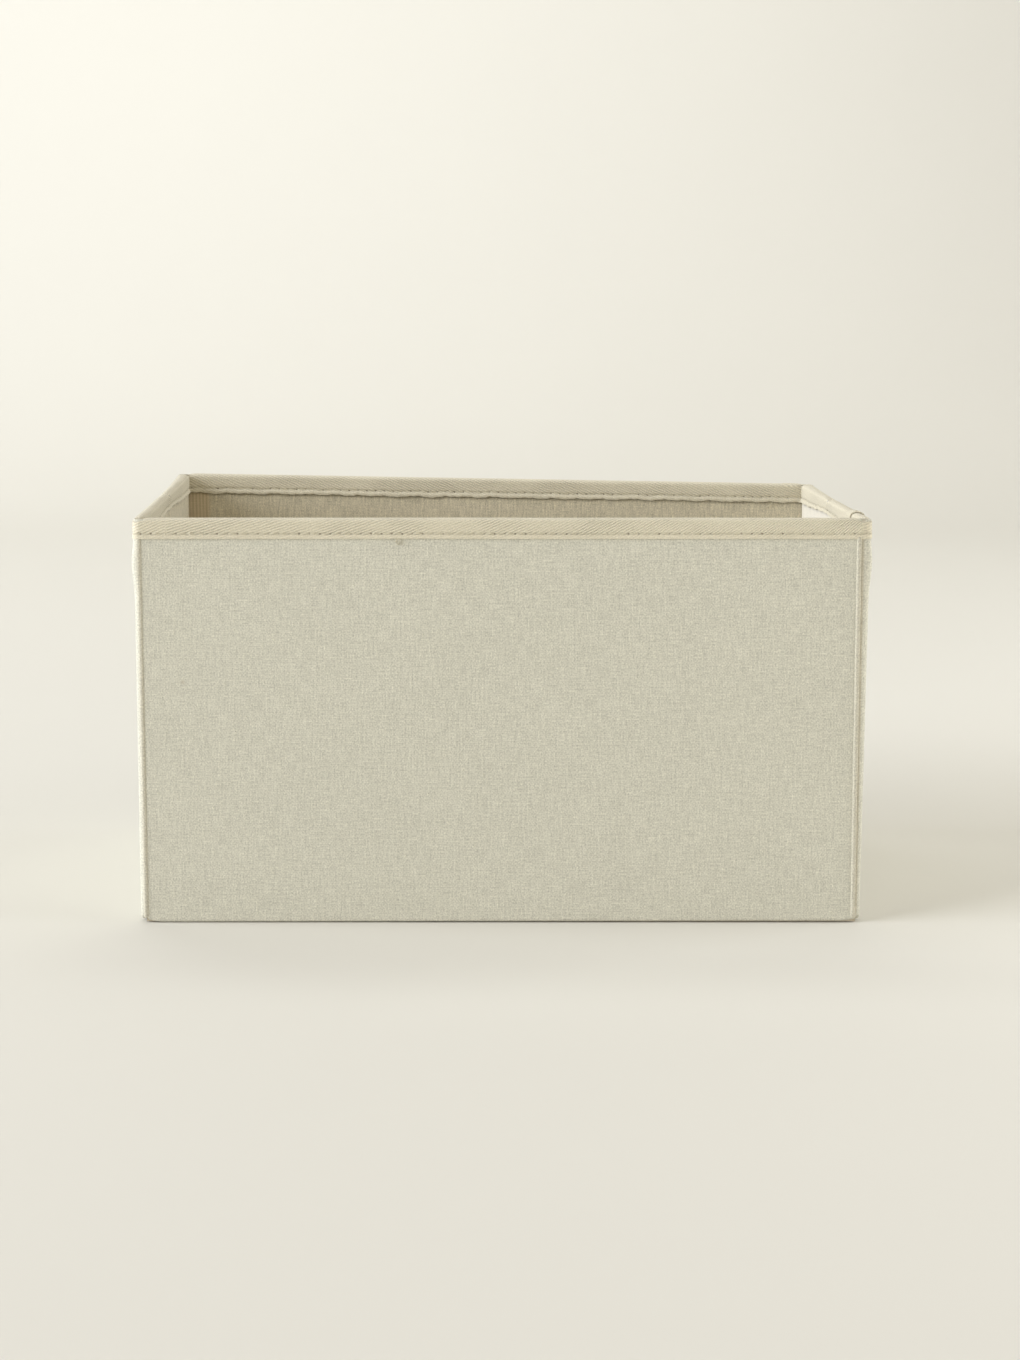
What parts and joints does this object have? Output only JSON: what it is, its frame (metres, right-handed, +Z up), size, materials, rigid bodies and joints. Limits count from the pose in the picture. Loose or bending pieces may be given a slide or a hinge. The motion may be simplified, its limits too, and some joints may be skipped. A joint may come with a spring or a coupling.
{
  "type": "fabric storage bin",
  "caption": "Open-top rectangular fabric storage bin with boarded walls, herringbone tape rim and side walls that crease inwards so it folds flat.",
  "frame": {"origin": "centre of the footprint, on the surface the bin stands on", "axes": "+X to the right along the long side, +Y from the front wall to the back wall, +Z up"},
  "size_m": [0.3523, 0.2018, 0.2007],
  "materials": {
    "linen_cover": "matte plain weave with slubs",
    "lining_cloth": "matte plain weave",
    "bottom_cloth": "matte plain weave",
    "binding_tape": "matte herringbone twill",
    "sewing_thread": "matte cotton thread",
    "seam_allowance": "matte plain weave, turned edge",
    "greyboard": "matte pressed board"
  },
  "bodies": {
    "back": {"back_board": "greyboard", "back_cover": "linen_cover", "back_lining": "lining_cloth", "back_binding": "binding_tape", "back_binding_stitches": "sewing_thread", "back_left_corner_seam": "seam_allowance", "back_right_corner_seam": "seam_allowance", "bottom_cover": "bottom_cloth"},
    "front": {"front_board": "greyboard", "front_cover": "linen_cover", "front_lining": "lining_cloth", "front_binding": "binding_tape", "front_binding_stitches": "sewing_thread", "front_left_corner_seam": "seam_allowance", "front_right_corner_seam": "seam_allowance"},
    "left_back": {"left_back_board": "greyboard", "left_back_cover": "linen_cover", "left_back_lining": "lining_cloth", "left_back_binding": "binding_tape", "left_back_binding_stitches": "sewing_thread"},
    "left_front": {"left_front_board": "greyboard", "left_front_cover": "linen_cover", "left_front_lining": "lining_cloth", "left_front_binding": "binding_tape", "left_front_binding_stitches": "sewing_thread"},
    "right_front": {"right_front_board": "greyboard", "right_front_cover": "linen_cover", "right_front_lining": "lining_cloth", "right_front_binding": "binding_tape", "right_front_binding_stitches": "sewing_thread", "right_front_binding_overlap": "binding_tape"},
    "right_back": {"right_back_board": "greyboard", "right_back_cover": "linen_cover", "right_back_lining": "lining_cloth", "right_back_binding": "binding_tape", "right_back_binding_stitches": "sewing_thread"},
    "base_back": {"base_back_board": "greyboard", "base_back_lining": "lining_cloth", "base_back_left_gusset": "lining_cloth", "base_back_right_gusset": "lining_cloth"},
    "base_front": {"base_front_board": "greyboard", "base_front_lining": "lining_cloth", "base_front_left_gusset": "lining_cloth", "base_front_right_gusset": "lining_cloth"}
  },
  "joints": [
    {"name": "left_back_corner_fold", "type": "hinge", "parent": "back", "child": "left_back", "pos_m": [-0.1711, 0.093, 0.1], "axis": [0, 0, 1], "range_deg": [0, 88], "deforming": ["bottom_cover"]},
    {"name": "left_crease_fold", "type": "hinge", "parent": "left_back", "child": "left_front", "pos_m": [-0.1761, 0, 0.1], "axis": [0, 0, 1], "range_deg": [-176, 0]},
    {"name": "left_front_corner_fold", "type": "hinge", "parent": "left_front", "child": "front", "pos_m": [-0.1711, -0.093, 0.1], "axis": [0, 0, 1], "range_deg": [0, 88]},
    {"name": "right_front_corner_fold", "type": "hinge", "parent": "front", "child": "right_front", "pos_m": [0.1711, -0.093, 0.1], "axis": [0, 0, 1], "range_deg": [0, 88]},
    {"name": "right_crease_fold", "type": "hinge", "parent": "right_front", "child": "right_back", "pos_m": [0.1761, 0, 0.1], "axis": [0, 0, 1], "range_deg": [-176, 0]},
    {"name": "base_back_fold", "type": "hinge", "parent": "back", "child": "base_back", "pos_m": [0, 0.0968, 0.0035], "axis": [-1, 0, 0], "range_deg": [0, 88], "deforming": ["base_back_left_gusset", "base_back_right_gusset"]},
    {"name": "base_front_fold", "type": "hinge", "parent": "front", "child": "base_front", "pos_m": [0, -0.0968, 0.0035], "axis": [1, 0, 0], "range_deg": [0, 88], "deforming": ["base_front_left_gusset", "base_front_right_gusset"]}
  ],
  "couplings": [
    {"joint": "left_crease_fold", "follows": "left_back_corner_fold", "ratio": -2},
    {"joint": "left_front_corner_fold", "follows": "left_back_corner_fold", "ratio": 1},
    {"joint": "right_front_corner_fold", "follows": "left_back_corner_fold", "ratio": 1},
    {"joint": "right_crease_fold", "follows": "left_back_corner_fold", "ratio": -2},
    {"joint": "base_back_fold", "follows": "left_back_corner_fold", "ratio": 1},
    {"joint": "base_front_fold", "follows": "left_back_corner_fold", "ratio": 1}
  ]
}
